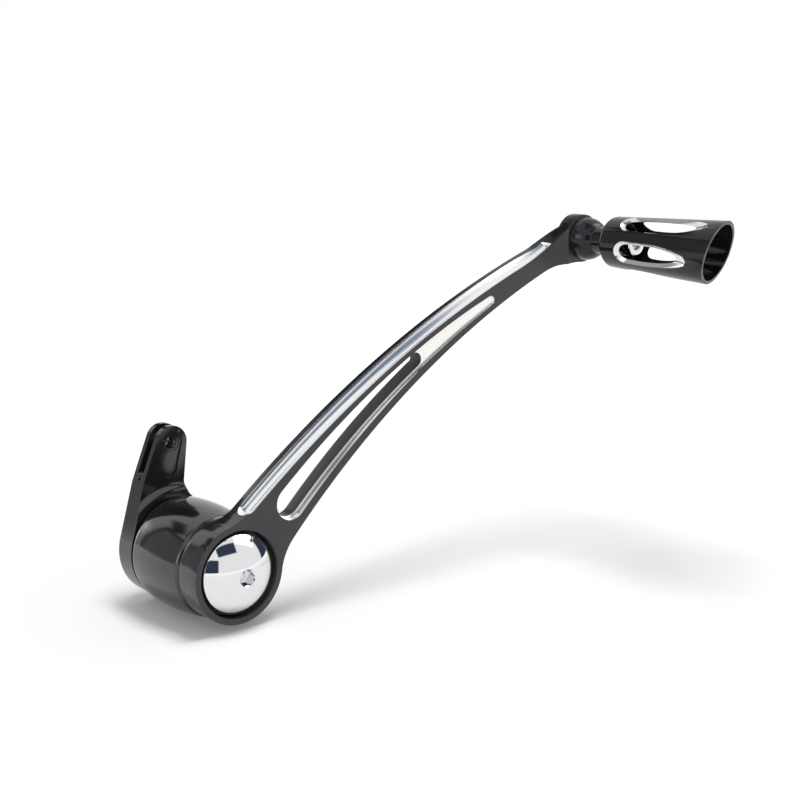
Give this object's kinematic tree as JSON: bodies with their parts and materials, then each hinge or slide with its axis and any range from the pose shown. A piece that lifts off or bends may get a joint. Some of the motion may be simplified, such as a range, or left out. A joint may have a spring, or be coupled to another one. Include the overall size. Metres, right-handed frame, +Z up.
{
  "type": "gear shift lever",
  "caption": "Curved foot lever with a slotted see-through arm, a pivot barrel, a forked linkage arm at the inboard end and a hollow slotted toe peg.",
  "frame": {"origin": "centre of the pivot shaft's inboard mounting face, on the pivot axis", "axes": "+Y along the pivot axis, inboard, into the motorcycle's frame; +X forward, towards the toe peg; +Z up"},
  "size_m": [0.2868, 0.192, 0.2023],
  "materials": {
    "satin_black": "satin black anodised, with bright machined cuts",
    "gloss_black": "gloss black anodised",
    "chrome": "mirror chrome plate",
    "steel": "fine turned steel",
    "bronze": "sintered oil bronze",
    "seal_rubber": "matte nitrile rubber"
  },
  "bodies": {
    "pivot": {"pivot_shaft": "steel", "cap_screw": "chrome", "wave_washer": "steel", "thrust_washer_outboard": "bronze", "thrust_washer_inboard": "bronze"},
    "lever": {"arm": "satin_black", "barrel": "gloss_black", "clevis_lever": "gloss_black", "bush_outboard": "bronze", "bush_inboard": "bronze", "seal_outboard": "seal_rubber", "seal_inboard": "seal_rubber", "hub_screw_1": "steel", "hub_screw_2": "steel", "hub_screw_3": "steel", "hub_screw_4": "steel", "arm_dowel_1": "steel", "arm_dowel_2": "steel", "clevis_dowel_1": "steel", "clevis_dowel_2": "steel", "peg_standoff": "gloss_black", "peg_screw": "chrome", "peg_washer": "steel"},
    "peg": {"toe_peg": "gloss_black"}
  },
  "joints": [
    {"name": "lever_pivot", "type": "hinge", "parent": "pivot", "child": "lever", "pos_m": [0, 0, 0], "axis": [0, 1, 0], "range_deg": [-12, 12]},
    {"name": "toe_peg_turn", "type": "hinge", "parent": "lever", "child": "peg", "pos_m": [0.2399, -0.1108, 0.155], "axis": [0, 1, 0], "continuous": true}
  ]
}
